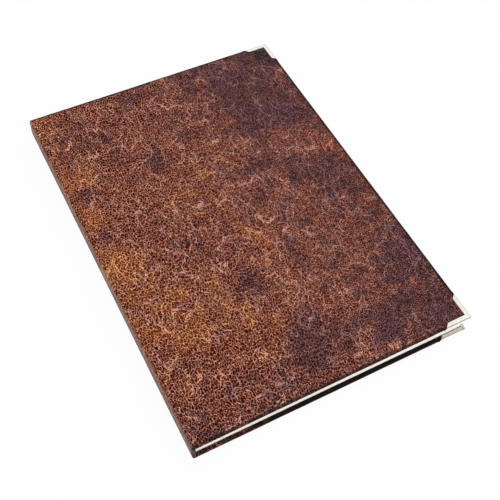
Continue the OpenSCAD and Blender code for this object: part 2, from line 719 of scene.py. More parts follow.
@dataclass(frozen=True)
class CreaseNet:
    """A net of creases over the grain, in millimetres, and the patches of noise that show it."""

    across: float
    along: float
    line: float
    patch: float
    shown_from: float
    shown_to: float
    height: float


# Tints from pit to ridge: the dark pits carry painted shade and the light ridges a painted highlight,
# over the antique dye
BLACK_TINTS = ((14, 6, 6), (32, 19, 17), (48, 34, 31), (68, 52, 48), (108, 92, 86))
DYES = (
    Dye(((30, 3, 3), (57, 20, 19), (78, 39, 38), (106, 67, 66), (156, 116, 113)), -0.60, -0.20),
    Dye(((46, 4, 0), (84, 19, 1), (111, 44, 23), (148, 80, 58), (222, 165, 144)), 0.10, 0.5),
    Dye(((74, 16, 0), (118, 48, 13), (150, 77, 37), (186, 112, 66), (240, 178, 132)), 0.5, 0.9),
)
CREASES = (
    CreaseNet(6.5, 19.0, 0.07, 22.0, 0.42, 0.56, 0.56),
    CreaseNet(3.4, 9.0, 0.09, 9.0, 0.45, 0.60, 0.28),
)


@dataclass(frozen=True)
class LeatherFinish:
    """Antiqued faux leather: a net of light ridges round dark pits, over mottled brown dye; the dark
    pits are partly painted shade and the light ridges partly a painted highlight.
    """

    # Painted shade along the leather's rounded edges and turn-ins
    edge_shade_colour: Tint = (30, 20, 22)
    # Painted sheen on the spine: a greyish lightening that stands in for the white surroundings
    # reflected at a grazing angle
    spine_sheen_colour: Tint = (206, 178, 164)
    spine_sheen_share: float = 0.22
    spine_half: float = 8.6
    spine_flat: float = 6.8
    plum: Colour = (0.93, 1.0, 1.15, 1.0)
    sheen: float = 0.05
    relief: float = 0.00018
    sheet_shift: float = 114.03
    face_end: float = 219.6
    half_face: float = 150.6
    patches: tuple[ColourPatch, ...] = WIPED_THIN + GATHERED
    plum_size: float = 28.0
    blotch_size: float = 9.0
    patch_reach: float = 1.8
    patch_gain: float = 1.25
    broad_share: float = 0.4
    cloud_share: float = 1.3
    tone_drop: float = 0.40
    broad_size: float = 62.0
    cloud_size: float = 13.0
    torn_size: float = 6.0
    wander_size: float = 14.0
    wander_reach: float = 20.0
    cell: float = 1.7
    jitter: float = 1.7
    y_scale: float = 0.58
    fine_ratio: float = 1.75
    coarse_power: float = 4.2
    fine_power: float = 3.4
    grit: float = 0.75
    streak: float = 0.65
    mean_height: float = 0.515
    mixed_size: float = 5.0
    mixed_share: float = 1.2
    worn_size: float = 2.6
    bend_size: float = 30.0
    bend_reach: float = 30.0

    def build(self) -> bpy.types.Material:
        """Make the material.

        Returns:
            The leather material, laid out on the flat sheet that the pieces were cut from.
        """
        g = MaterialGraph("antiqued_faux_leather")
        flat = g.flat_place()
        across = g.axis(flat, "X")
        tone = self.dye_tone(g, flat, across)
        height = self.grain(g, flat, across)
        colour = self.rise(g, height, BLACK_TINTS)
        for dye in DYES:
            colour = g.mix(g.span(tone, dye.start, dye.full), colour, self.rise(g, height, dye.tints))
        to_tail = g.span(g.axis(flat, "Y"), -95.0, -150.0, 0.0, 0.8)
        far = g.math("MAXIMUM", g.span(across, 40.0, 190.0, 0.1, 1.0), to_tail)
        plum = g.span(g.cloud(flat, 1 / self.plum_size, 3.0, 0.6), 0.32, 0.62)
        plum = g.math("MULTIPLY", plum, far)
        colour = g.mix(plum, colour, self.plum, "MULTIPLY")
        # Painted sheen: the spine's face is lightened towards grey, as a reflection of the white
        # surroundings
        spine = g.span(g.math("ABSOLUTE", across), self.spine_half, self.spine_flat)
        spine = g.math("MULTIPLY", spine, self.spine_sheen_share)
        colour = g.mix(spine, colour, from_srgb(*self.spine_sheen_colour))
        # Painted shade over the rounded edges of the case
        colour = g.mix(self.edge_shade_share(g, flat, across), colour, from_srgb(*self.edge_shade_colour))
        g.feed(g.shader.inputs["Base Color"], colour)
        g.feed(g.shader.inputs["Roughness"], g.span(height, 0.0, 1.0, 0.62, 0.44))
        g.feed(g.shader.inputs["Specular IOR Level"], self.sheen)
        g.bump(height, self.relief)
        return g.material

    def rise(
        self, g: Graph, height: bpy.types.NodeSocket, tints: tuple[Tint, ...]
    ) -> bpy.types.NodeSocket:
        """One dye, from the bottom of the pits, dark with gathered dye and painted shade, to the tops
        of the ridges, light with wear and a painted highlight.
        """
        last = len(tints) - 1
        return g.ramp(height, [(n / last, from_srgb(*tint)) for n, tint in enumerate(tints)])

    def edge_shade_share(
        self, g: Graph, flat: bpy.types.NodeSocket, across: bpy.types.NodeSocket
    ) -> bpy.types.NodeSocket:
        """How much painted shade darkens the leather where it turns over the edges of the case.

        Args:
            g: Graph to draw in.
            flat: Place on the flat sheet, in millimetres.
            across: Its X.

        Returns:
            The share of the painted edge shade colour.
        """
        out = g.math("ABSOLUTE", across)
        along = g.math("ABSOLUTE", g.axis(flat, "Y"))
        # Painted shade where the leather rounds over the fore-edge, head and tail and on its turn-ins,
        # patchy, and stronger on the back cover
        fore = g.span(out, self.face_end - 2.2, self.face_end - 0.5)
        ends = g.span(along, self.half_face - 1.7, self.half_face - 0.3)
        blotch = g.span(g.cloud(flat, 1 / self.blotch_size, 3.0, 0.6), 0.3, 0.7, 0.95, 0.55)
        under = g.span(across, -35.0, -80.0, 0.0, 0.4)
        share = g.math("MINIMUM", g.math("ADD", blotch, under), 1.0)
        return g.math("MULTIPLY", g.math("MAXIMUM", fore, ends), share)

    def dye_tone(
        self, g: Graph, flat: bpy.types.NodeSocket, across: bpy.types.NodeSocket
    ) -> bpy.types.NodeSocket:
        """Mottled tone of the dye, from dark to warm.

        Args:
            g: Graph to draw in.
            flat: Place on the flat sheet, in millimetres.
            across: Its X.

        Returns:
            The tone: below 0 where dye has gathered, near 1 where it was wiped thin.
        """
        broad = g.math("MULTIPLY", g.cloud(flat, 1 / self.broad_size), self.broad_share)
        cloudy = g.cloud(flat, 1 / self.cloud_size, 3.0, 0.66)
        cloudy = g.math("MULTIPLY", cloudy, self.cloud_share)
        tone = g.math("SUBTRACT", g.math("ADD", broad, cloudy), self.tone_drop)
        wander = g.sway(flat, 1 / self.wander_size, self.wander_reach, 4.0, 0.65)
        loose = g.vector("ADD", flat, wander)
        worked = 0.0
        for patch in self.patches:
            gap = g.node("VectorMath", operation="DISTANCE")
            g.feed(gap.inputs[0], loose)
            g.feed(gap.inputs[1], (patch.x + self.sheet_shift, patch.y, 0.0))
            reach, gain = patch.radius * self.patch_reach, patch.tone * self.patch_gain
            worked = g.math("ADD", worked, g.span(gap.outputs["Value"], reach, 0.0, 0.0, gain))
        torn = g.span(g.cloud(flat, 1 / self.torn_size, 3.0, 0.7), 0.35, 0.65, 0.45, 1.35)
        tone = g.math("ADD", tone, g.math("MULTIPLY", worked, torn))
        # Darker towards the fore-edge and lighter towards the spine
        to_fore = g.span(across, 60.0, 220.0, 0.03, -0.16)
        to_spine = g.span(across, 48.0, 8.0, 0.0, 0.10)
        return g.math("ADD", tone, g.math("ADD", to_fore, to_spine))

    def grain(
        self, g: Graph, flat: bpy.types.NodeSocket, across: bpy.types.NodeSocket
    ) -> bpy.types.NodeSocket:
        """The pebbled grain: coarse cells with finer ones among them, and a few long creases.

        Args:
            g: Graph to draw in.
            flat: Place on the flat sheet, in millimetres.
            across: Its X.

        Returns:
            The height, mostly from 0 in the pits to 1 on the ridges.
        """
        loose = g.vector("ADD", flat, g.sway(flat, 0.17, 4.0))
        loose = g.vector("ADD", loose, g.sway(flat, 0.85, self.jitter))
        narrow = g.vector("MULTIPLY", loose, (1.0, self.y_scale, 1.0))
        coarse = g.span(g.cell_edges(narrow, 1 / self.cell), 0.40, 0.0)
        fine = g.span(g.cell_edges(narrow, self.fine_ratio / self.cell), 0.42, 0.0)
        coarse = g.math("POWER", coarse, self.coarse_power)
        fine = g.math("POWER", fine, self.fine_power)
        mixed = g.centred(g.cloud(flat, 1 / self.mixed_size, 3.0, 0.6), self.mixed_share)
        share = g.math("ADD", g.span(across, 60.0, 200.0, 0.45, 0.75), mixed)
        height = g.mix_value(share, coarse, fine)
        worn = g.span(g.cloud(flat, 1 / self.worn_size, 3.0, 0.6), 0.3, 0.7, 0.86, 1.16)
        height = g.math("MULTIPLY", height, worn)
        height = g.math("ADD", height, g.centred(g.cloud(flat, 1.5, 2.0, 0.7), self.grit))
        streak = g.cloud(g.vector("MULTIPLY", loose, (0.5, 0.17, 1.0)), 1.0, 4.0, 0.65)
        height = g.math("ADD", height, g.centred(streak, self.streak))
        bend = g.sway(flat, 1 / self.bend_size, self.bend_reach, 3.0, 0.6)
        bent = g.vector("ADD", loose, bend)
        creases = 0.0
        for net in CREASES:
            stretched = g.vector("MULTIPLY", bent, (1 / net.across, 1 / net.along, 1.0))
            line = g.span(g.cell_edges(stretched, 1.0), net.line, 0.0)
            where = g.span(g.cloud(flat, 1 / net.patch), net.shown_from, net.shown_to, 0.0, net.height)
            creases = g.math("MAXIMUM", creases, g.math("MULTIPLY", line, where))
        height = g.math("ADD", height, creases)
        swing = g.span(across, 90.0, 210.0, 1.58, 1.06)
        return g.math("ADD", g.centred(height, swing), self.mean_height)


@dataclass(frozen=True)
class MetalFinish:
    """Polished nickel plate with fine wiping marks, and a painted dark reflection along its folds and
    on its inner flange.
    """

    colour: Tint = (251, 244, 236)
    shaded: Tint = (240, 231, 222)
    fold_reflection_colour: Tint = (92, 88, 86)
    relief: float = 0.000006
    marks: float = 700.0
    clouds: float = 160.0

    def build(self) -> bpy.types.Material:
        """Make the material.

        Returns:
            The metal material.
        """
        g = MaterialGraph("polished_nickel")
        place = g.own_place()
        marks = g.cloud(g.vector("MULTIPLY", place, (1.0, 1.0, 6.0)), self.marks, 3.0, 0.6)
        cloud = g.cloud(place, self.clouds, 3.0, 0.6)
        deep = g.axis(g.flat_place(), "Z")
        # Painted reflection: darker along the fold at the outer face, along the inner fold and over the
        # inner flange, for the darker surroundings and the cover's shadowed underside that the metal
        # would mirror
        outer = g.math("MULTIPLY", g.span(deep, -0.06, 0.08), g.span(deep, 0.45, 0.25))
        inner = g.math("MULTIPLY", g.span(deep, 2.1, 2.3), g.span(deep, 2.64, 2.5))
        inside = g.span(deep, 2.2, 2.6, 0.0, 0.45)
        folds = g.math("MULTIPLY", g.math("MAXIMUM", outer, inner), g.span(cloud, 0.3, 0.7, 0.55, 0.9))
        colour = g.mix(g.span(cloud, 0.35, 0.7), from_srgb(*self.colour), from_srgb(*self.shaded))
        colour = g.mix(g.math("MAXIMUM", folds, inside), colour, from_srgb(*self.fold_reflection_colour))
        g.feed(g.shader.inputs["Base Color"], colour)
        g.feed(g.shader.inputs["Metallic"], 1.0)
        g.feed(g.shader.inputs["Roughness"], g.span(cloud, 0.3, 0.75, 0.10, 0.22))
        g.bump(marks, self.relief)
        return g.material


@dataclass(frozen=True)
class PaperFinish:
    """Uncoated paper with a faint tooth."""

    name: str
    colour: Tint
    shade: Tint
    tooth: float = 0.00002
    clouds: float = 45.0
    fibres: float = 1500.0
    cloud_share: float = 0.35

    def build(self) -> bpy.types.Material:
        """Make the material.

        Returns:
            The paper material.
        """
        g = MaterialGraph(self.name)
        place = g.own_place()
        cloud = g.cloud(place, self.clouds, 4.0, 0.6)
        fibre = g.cloud(g.vector("MULTIPLY", place, (1.0, 0.45, 1.0)), self.fibres, 3.0, 0.7)
        mixed = g.mix_value(self.cloud_share, fibre, cloud)
        g.feed(g.shader.inputs["Base Color"], g.mix(
            g.span(mixed, 0.35, 0.7), from_srgb(*self.colour), from_srgb(*self.shade)
        ))
        g.feed(g.shader.inputs["Roughness"], g.span(fibre, 0.3, 0.7, 0.82, 0.94))
        g.bump(fibre, self.tooth)
        return g.material


@dataclass(frozen=True)
class PageEdgeFinish:
    """The trimmed edges of many sheets: pale paper with fine lines along the sheets."""

    sheet: float = 0.00011
    clouds: float = 60.0
    cloud_share: float = 0.2
    relief: float = 0.00008
    shadow: Tint = (238, 231, 223)
    colour: Tint = (254, 251, 247)

    def build(self) -> bpy.types.Material:
        """Make the material.

        Returns:
            The page edge material.
        """
        g = MaterialGraph("page_edges")
        place = g.own_place()
        stretched = g.vector("MULTIPLY", place, (0.012, 0.012, 1.0))
        lines = g.cloud(stretched, 0.5 / self.sheet, 2.0, 0.6)
        cloud = g.cloud(place, self.clouds, 3.0, 0.6)
        cloudy = g.math("MULTIPLY", cloud, self.cloud_share)
        tone = g.math("ADD", g.span(lines, 0.35, 0.66, 0.0, 0.8), cloudy)
        g.feed(g.shader.inputs["Base Color"], g.mix(
            tone, from_srgb(*self.shadow), from_srgb(*self.colour)
        ))
        g.feed(g.shader.inputs["Roughness"], g.span(lines, 0.3, 0.7, 0.92, 0.78))
        g.bump(lines, self.relief)
        return g.material


@dataclass(frozen=True)
class ClothFinish:
    """Starched open cotton cloth down the spine of the pages."""

    threads: float = 320.0
    sway: float = 0.6
    relief: float = 0.00012
    gap: Tint = (176, 168, 150)
    thread: Tint = (236, 230, 214)

    def build(self) -> bpy.types.Material:
        """Make the material.

        Returns:
            The cloth material.
        """
        g = MaterialGraph("mull_cloth")
        place = g.own_place()
        warp = g.node("TexWave", wave_type="BANDS", bands_direction="Y")
        weft = g.node("TexWave", wave_type="BANDS", bands_direction="Z")
        for wave in (warp, weft):
            g.feed(wave.inputs["Vector"], place)
            g.feed(wave.inputs["Scale"], self.threads)
            g.feed(wave.inputs["Distortion"], self.sway)
        weave = g.math("MAXIMUM", warp.outputs["Fac"], weft.outputs["Fac"])
        g.feed(g.shader.inputs["Base Color"], g.mix(
            weave, from_srgb(*self.gap), from_srgb(*self.thread)
        ))
        g.feed(g.shader.inputs["Roughness"], g.span(weave, 0.0, 1.0, 0.97, 0.86))
        g.bump(weave, self.relief)
        return g.material


@dataclass(frozen=True)
class BoardFinish:
    """Grey bookbinder's board with flecks of pulp."""

    relief: float = 0.00006
    pulp: float = 900.0
    flecks: float = 260.0
    dark: Tint = (126, 120, 112)
    pale: Tint = (160, 153, 143)
    fleck: Tint = (88, 82, 78)

    def build(self) -> bpy.types.Material:
        """Make the material.

        Returns:
            The board material.
        """
        g = MaterialGraph("grey_board")
        place = g.own_place()
        pulp = g.cloud(place, self.pulp, 4.0, 0.7)
        fleck = g.cloud(place, self.flecks, 2.0, 0.5)
        colour = g.mix(g.span(pulp, 0.3, 0.7), from_srgb(*self.dark), from_srgb(*self.pale))
        g.feed(g.shader.inputs["Base Color"], g.mix(
            g.span(fleck, 0.66, 0.74, 0.0, 0.5), colour, from_srgb(*self.fleck)
        ))
        g.feed(g.shader.inputs["Roughness"], g.span(pulp, 0.3, 0.7, 0.96, 0.86))
        g.bump(pulp, self.relief)
        return g.material


@dataclass
class Finishes:
    """The notebook's materials, one a slot."""

    leather: LeatherFinish
    metal: MetalFinish = field(default_factory=MetalFinish)
    made: dict[Slot, bpy.types.Material] = field(default_factory=dict)

    def build(self) -> None:
        """Make every material once."""
        self.made = {
            Slot.LEATHER: self.leather.build(),
            Slot.METAL: self.metal.build(),
            Slot.PAGES: PageEdgeFinish().build(),
            Slot.ENDPAPER: PaperFinish("ivory_endpaper", (246, 242, 232), (236, 231, 219)).build(),
            Slot.LINING: ClothFinish().build(),
            Slot.BOARD: BoardFinish().build(),
        }

    def dress(self, piece: bpy.types.Object, slot: Slot) -> None:
        """Give a piece its only material."""
        piece.data.materials.clear()
        piece.data.materials.append(self.made[slot])

    def dress_node(self, name: str, slot: Slot) -> None:
        """Give a shown CAD node its material, in the slots of its object.

        Args:
            name: Name of the CAD node.
            slot: Slot to take the finish from.
        """
        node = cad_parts[name]
        for holder in node.material_slots:
            holder.link = "OBJECT"
            holder.material = self.made[slot]


@dataclass(frozen=True)
class WrapProfile:
    """How the leather goes round a cover's edge, from its outer face to the end of its turn-in."""

    thickness: float
    radius: float
    turn_in: float
    arc_steps: int = 5
    inner_stages: tuple[float, ...] = (-0.4, -2.0, -4.0, -7.0, -10.5)

    def stages(self) -> tuple[np.ndarray, np.ndarray, np.ndarray]:
        """Follow the leather round the edge.

        Returns:
            How far each stage lies outside the start of the rounding, its depth below the outer
            face, and its distance along the leather.
        """
        angle = np.linspace(0.0, math.pi / 2, self.arc_steps + 1)
        out = np.concatenate([
            self.radius * np.sin(angle),
            self.radius * np.sin(angle[::-1]),
            [*self.inner_stages, -(self.turn_in - self.radius)],
        ])
        deep = np.concatenate([
            self.radius * (1 - np.cos(angle)),
            self.thickness - self.radius * (1 - np.cos(angle[::-1])),
            [self.thickness] * (len(self.inner_stages) + 1),
        ])
        steps = np.hypot(np.diff(out), np.diff(deep))
        return out, deep, np.concatenate([[0.0], np.cumsum(steps)])


class SkinPart(Enum):
    """The stretches of the one sheet of leather, from the middle of the spine outwards."""

    SPINE = "spine"
    JOINT = "joint"
    COVER = "cover"


@dataclass
class CaseLeather:
    """The sheet of faux leather round the case, drawn as half the sheet and used for both halves."""

    sizes: NotebookSizes
    coarse: float = 1.8
    fine: float = 0.55
    fine_zone: float = 23.0
    seam_half: float = 0.12
    press: float = 0.26
    bulge: float = 0.10
    wave: float = 0.07
    joint_depth: float = 1.0
    spine_lines: int = 15
    joint_lines: int = 13
    back_coarser: float = 1.5
    end_bulge: float = 2.2
    smooth_angle: float = 40.0
    profile: WrapProfile = field(init=False)

    def __post_init__(self) -> None:
        """Set up the profile of the wrapped edge."""
        s = self.sizes
        self.profile = WrapProfile(s.cover_t, s.edge_round, s.turn_in)

    @property
    def spine_run(self) -> float:
        """Length of leather from the middle of the spine to the start of the joint."""
        return self.sizes.total_t / 2 - self.sizes.cover_t

    @property
    def joint_run(self) -> float:
        """Length of leather round one joint."""
        return self.sizes.cover_t * math.pi / 2

    def section(self, run: np.ndarray) -> tuple[np.ndarray, np.ndarray, np.ndarray, np.ndarray]:
        """The leather's outer line across the case, on the back half.

        Args:
            run: Distances along the leather from the middle of the spine.

        Returns:
            The points, their outward directions, the thickness of the wrapped edge at them, and
            the share of the cover's slope that they take.
        """
        s = self.sizes
        radius = s.cover_t
        angle = np.clip((run - self.spine_run) / radius, 0.0, math.pi / 2)
        before = np.minimum(run, self.spine_run)
        after = np.maximum(run - self.spine_run - self.joint_run, 0.0)
        x = s.joint_x - radius * np.cos(angle) + after
        z = s.total_t / 2 - before - radius * np.sin(angle)
        outward = np.stack([-np.cos(angle), -np.sin(angle)], axis=1)
        share = np.sin(2 * angle)
        depth = radius - (radius - self.joint_depth) * smooth_step(0.0, 0.6, share)
        turn = smooth_step(0.0, math.pi / 2, angle)
        return np.stack([x, z], axis=1), outward, depth, turn

    def stations(self, part: SkinPart, side: CoverSide) -> tuple[np.ndarray, np.ndarray]:
        """Where the grid of a stretch has its lines.

        Args:
            part: Stretch of the sheet.
            side: Cover that it belongs to.

        Returns:
            Distances along the leather and places along the height.
        """
        s = self.sizes
        rough = 1.0 if side is CoverSide.FRONT else self.back_coarser
        start = self.spine_run + self.joint_run
        end = start + s.fore_x - s.edge_round - s.joint_x
        top = s.half_h - s.edge_round
        near = top - self.fine_zone
        runs = {
            SkinPart.SPINE: np.linspace(-self.spine_run, self.spine_run, self.spine_lines),
            SkinPart.JOINT: np.linspace(self.spine_run, start, self.joint_lines),
            SkinPart.COVER: graded([
                (start, 0.9), (start + 4, self.coarse * rough),
                (end - self.fine_zone, self.fine * rough), (end, 1),
            ]),
        }
        heights = graded([
            (-top, self.fine * rough), (-near, self.coarse * rough),
            (near, self.fine * rough), (top, 1),
        ])
        return runs[part], heights

    def flank(
        self, run: np.ndarray, end_sign: float, with_corner: bool
    ) -> tuple[np.ndarray, np.ndarray, np.ndarray]:
        """The leather wrapped round the head or tail of a stretch.

        Args:
            run: Distances along the leather.
            end_sign: -1 at the tail and 1 at the head.
            with_corner: Whether the stretch ends at the fore-edge.

        Returns:
            Points and flat places, as stages by stations by 3, and the share of the slope.
        """
        s = self.sizes
        out, deep, along = self.profile.stages()
        line, outward, depth, turn = self.section(run)
        share = deep[:, None] * (depth / s.cover_t)[None, :]
        x = line[None, :, 0] - outward[None, :, 0] * share
        z = line[None, :, 1] - outward[None, :, 1] * share
        flat_x = np.broadcast_to(run, x.shape)
        turn = np.broadcast_to(turn, x.shape)
        if with_corner:
            edge = s.fore_x - s.edge_round
            limit = edge + out - np.where(out < 0, self.seam_half * math.sqrt(2), 0.0)
            x = np.concatenate([np.minimum(x, limit[:, None]), limit[:, None]], axis=1)
            z = np.concatenate([z, z[:, -1:]], axis=1)
            flat_x = np.concatenate([flat_x, flat_x[:, -1:] + np.maximum(out, 0)[:, None]], axis=1)
            turn = np.concatenate([turn, turn[:, -1:]], axis=1)
        y = np.broadcast_to((end_sign * (s.half_h - s.edge_round + out))[:, None], x.shape)
        flat_y = np.broadcast_to((end_sign * (s.half_h - s.edge_round + along))[:, None], x.shape)
        points = np.stack([x, y, z], axis=-1)
        flats = np.stack([flat_x, flat_y, np.zeros_like(flat_y)], axis=-1)
        return points, flats, turn

    def fore_flank(self, run_end: float, heights: np.ndarray) -> tuple[np.ndarray, np.ndarray]:
        """The leather wrapped round the fore-edge.

        Args:
            run_end: Distance along the leather where the rounding starts.
            heights: Places along the height.

        Returns:
            Points and flat places, as stages by stations by 3.
        """
        s = self.sizes
        out, deep, along = self.profile.stages()
        edge = s.half_h - s.edge_round
        limit = edge + out - np.where(out < 0, self.seam_half * math.sqrt(2), 0.0)
        y = np.clip(np.broadcast_to(heights, (len(out), len(heights))), -limit[:, None], limit[:, None])
        y = np.concatenate([-limit[:, None], y, limit[:, None]], axis=1)
        x = np.broadcast_to((s.fore_x - s.edge_round + out)[:, None], y.shape)
        z = np.broadcast_to(deep[:, None], y.shape)
        flat_x = np.broadcast_to((run_end + along)[:, None], y.shape)
        points = np.stack([x, y, z], axis=-1)
        return points, np.stack([flat_x, y, np.zeros_like(y)], axis=-1)

    def build(self, name: str, part: SkinPart, side: CoverSide) -> bpy.types.Object:
        """Make one stretch of the leather.

        Args:
            name: Name of the piece.
            part: Stretch of the sheet.
            side: Half of the case that it belongs to.

        Returns:
            The finished piece.
        """
        s = self.sizes
        place = CoverPlace(s, side)
        sign = 1.0 if side is CoverSide.FRONT else -1.0
        flip = side is CoverSide.BACK
        run, heights = self.stations(part, side)
        with_corner = part is SkinPart.COVER
        draft = Draft()

        def add(points: np.ndarray, flats: np.ndarray, turn: np.ndarray, over: bool) -> None:
            """Lay a patch on its cover and add it."""
            laid = place.lay(points.reshape(-1, 3), turn.reshape(-1)).reshape(points.shape)
            draft.add_patch(laid, flats * np.array([sign, 1.0, 1.0]), over)

        line, _, _, turn = self.section(run)
        shape = (len(run), len(heights))
        points = np.stack([
            np.broadcast_to(line[:, :1], shape),
            np.broadcast_to(heights, shape),
            np.broadcast_to(line[:, 1:], shape),
        ], axis=-1)
        flats = np.stack([
            np.broadcast_to(run[:, None], shape), np.broadcast_to(heights, shape), np.zeros(shape)
        ], axis=-1)
        add(points, flats, np.broadcast_to(turn[:, None], shape), flip)
        for end_sign in (-1.0, 1.0):
            points, flats, turn = self.flank(run, end_sign, with_corner)
            # Stages run away from the outer face, so the head's faces look the other way
            add(points, flats, turn, flip if end_sign < 0 else not flip)
        if with_corner:
            points, flats = self.fore_flank(float(run[-1]), heights)
            add(points, flats, np.ones(points.shape[:2]), flip)
        piece = draft.make_object(name)
        self.emboss(piece, part, place)
        thicken(piece, s.leather_t)
        shade(piece, self.smooth_angle)
        return piece

    def emboss(self, piece: bpy.types.Object, part: SkinPart, place: CoverPlace) -> None:
        """Move the points a little in and out: the leather's own waves and the metal's pressure.

        Args:
            piece: Piece to shape.
            part: Stretch of the sheet.
            place: Place of its cover.
        """
        mesh = piece.data
        count = len(mesh.vertices)
        normals = np.empty(count * 3)
        mesh.vertices.foreach_get("normal", normals)
        points = np.empty(count * 3)
        mesh.vertices.foreach_get("co", points)
        cuts = np.empty(count * 3)
        mesh.attributes["cut"].data.foreach_get("vector", cuts)
        points, normals, cuts = (a.reshape(-1, 3) for a in (points, normals, cuts))
        flat = cuts / MM
        waves = np.array([
            noise.noise((x / 17.0, y / 23.0, 3.0)) + 0.5 * noise.noise((x / 6.0, y / 7.0, 9.0))
            for x, y, _ in flat
        ])
        push = self.wave * waves
        if part is SkinPart.COVER:
            push += self.corner_pressure(points / MM, place)
        points += normals * (push * MM)[:, None]
        mesh.vertices.foreach_set("co", points.ravel())
        mesh.update()

    def corner_pressure(self, points: np.ndarray, place: CoverPlace) -> np.ndarray:
        """How the metal corners press into the leather, and how it bulges beside them.

        Args:
            points: Points in millimetres.
            place: Place of their cover.

        Returns:
            How far each point moves outwards.
        """
        s = self.sizes
        to_fore = s.fore_x - points[:, 0]
        to_end = s.half_h - np.abs(points[:, 1])
        if place.side is CoverSide.BACK:
            deep = points[:, 2]
        else:
            deep = s.lid_z(points[:, 0], 0.0) - points[:, 2]
        near = np.minimum(to_fore, to_end)
        far = np.maximum(to_fore, to_end)
        flange = np.where(deep < s.cover_t / 2, s.corner_flange, s.corner_inner_flange)
        beyond_end = (far + near - s.corner_arm) / math.sqrt(2)
        outside = np.maximum(near - flange, beyond_end)
        pressed = -self.press * smooth_step(0.3, -0.1, outside)
        beside = self.bulge * np.exp(-(((outside - 0.75) / 0.5) ** 2))
        at_end = self.end_bulge * self.bulge * np.exp(-(((beyond_end - 0.7) / 0.6) ** 2))
        return pressed + beside + at_end * smooth_step(2.6, 0.6, near)


@dataclass
class JointPaper:
    """The stretch of an endpaper that is pasted over the leather on the inside of a joint."""

    sizes: NotebookSizes
    glue: float = 0.02
    arc_steps: int = 12
    height_steps: int = 24
    smooth_angle: float = 40.0

    def build(self, name: str, side: CoverSide) -> bpy.types.Object:
        """Make the stretch for one joint.

        Args:
            name: Name of the piece.
            side: Half of the case that it belongs to.

        Returns:
            The finished piece.
        """
        s = self.sizes
        radius = s.cover_t - s.leather_t - self.glue
        angle, y = np.meshgrid(
            np.linspace(0.0, math.pi / 2, self.arc_steps + 1),
            np.linspace(-s.page_h / 2, s.page_h / 2, self.height_steps + 1), indexing="ij",
        )
        points = np.stack([
            s.joint_x - radius * np.cos(angle), y, s.cover_t - radius * np.sin(angle)
        ], axis=-1)
        turn = smooth_step(0.0, math.pi / 2, angle)
        laid = CoverPlace(s, side).lay(points.reshape(-1, 3), turn.reshape(-1)).reshape(points.shape)
        draft = Draft()
        draft.add_patch(laid, points, side is CoverSide.BACK)
        piece = draft.make_object(name)
        thicken(piece, s.endpaper_t)
        shade(piece, self.smooth_angle)
        return piece


